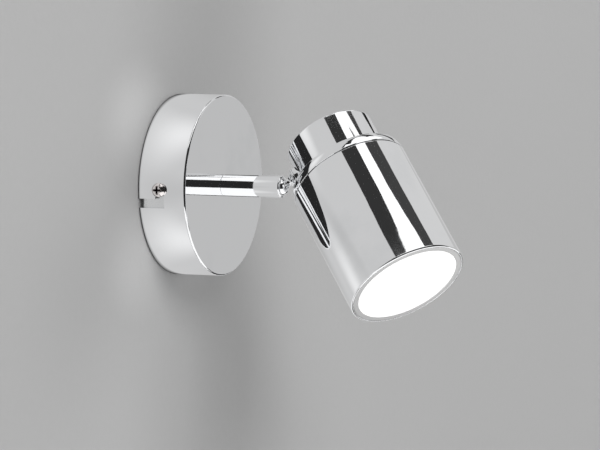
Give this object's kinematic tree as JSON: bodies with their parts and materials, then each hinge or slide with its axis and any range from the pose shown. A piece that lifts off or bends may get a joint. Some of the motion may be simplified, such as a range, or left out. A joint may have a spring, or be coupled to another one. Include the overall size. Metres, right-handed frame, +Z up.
{
  "type": "pivoting spotlight wall light",
  "caption": "Wall spotlight with a round canopy, a short straight arm, a ball joint and a cylindrical head with a narrower stepped rear cap and a flush opal glass front",
  "frame": {"origin": "centre of the canopy's back on the wall plane, midway between the two wall slots of the bracket", "axes": "+Y runs into the wall, the arm stands out along -Y, +Z is up and +X is to the right seen from the room"},
  "size_m": [0.097, 0.154, 0.1102],
  "materials": {
    "chrome": "polished chrome plate",
    "satin_metal": "satin grey metal",
    "opal_glass": "satin opal white, lit from behind",
    "zinc_steel": "bright zinc plate",
    "brass": "plain turned brass",
    "white_plastic": "moulded",
    "acetal": "natural",
    "ceramic": "unglazed steatite",
    "silicone": "matt",
    "lens": "frosted",
    "brown_sleeving": "silicone sleeving",
    "blue_sleeving": "silicone sleeving"
  },
  "bodies": {
    "wall_body": {"mounting_bracket": "zinc_steel", "canopy": "chrome", "canopy_screws": "chrome", "terminal_block": "white_plastic", "terminal_sleeves": "brass", "terminal_screws": "zinc_steel", "block_screw": "zinc_steel", "earth_screw": "brass", "arm_tube": "chrome", "arm_washer": "zinc_steel", "arm_nut": "zinc_steel", "seat_spring": "zinc_steel", "live_lead_wall": "brown_sleeving", "neutral_lead_wall": "blue_sleeving"},
    "seat": {"seat_cup": "acetal"},
    "stud": {"ball_stud": "chrome", "friction_washer": "zinc_steel", "stud_nut": "zinc_steel"},
    "head": {"saddle_washer": "chrome", "pivot_bush": "acetal", "rear_housing": "chrome", "barrel_sleeve": "chrome", "front_ring": "satin_metal", "glass_seal": "silicone", "glass_disc": "opal_glass", "lampholder": "ceramic", "holder_bracket": "zinc_steel", "bracket_screws": "zinc_steel", "socket_screws": "zinc_steel", "lamp_body": "white_plastic", "lamp_lens": "lens", "lamp_pins": "brass", "live_lead_head": "brown_sleeving", "neutral_lead_head": "blue_sleeving"}
  },
  "joints": [
    {"name": "ball_swing", "type": "hinge", "parent": "wall_body", "child": "seat", "pos_m": [0, -0.0562, 0], "axis": [0, -1, 0], "range_deg": [-170, 170]},
    {"name": "ball_tilt", "type": "hinge", "parent": "seat", "child": "stud", "pos_m": [0, -0.0562, 0], "axis": [-0.7593, 0, 0.6508], "range_deg": [-37.3, 2.2]},
    {"name": "head_spin", "type": "hinge", "parent": "stud", "child": "head", "pos_m": [0, -0.0562, 0], "axis": [0.3944, -0.7955, 0.4601], "range_deg": [-148.1, 121.9]}
  ]
}
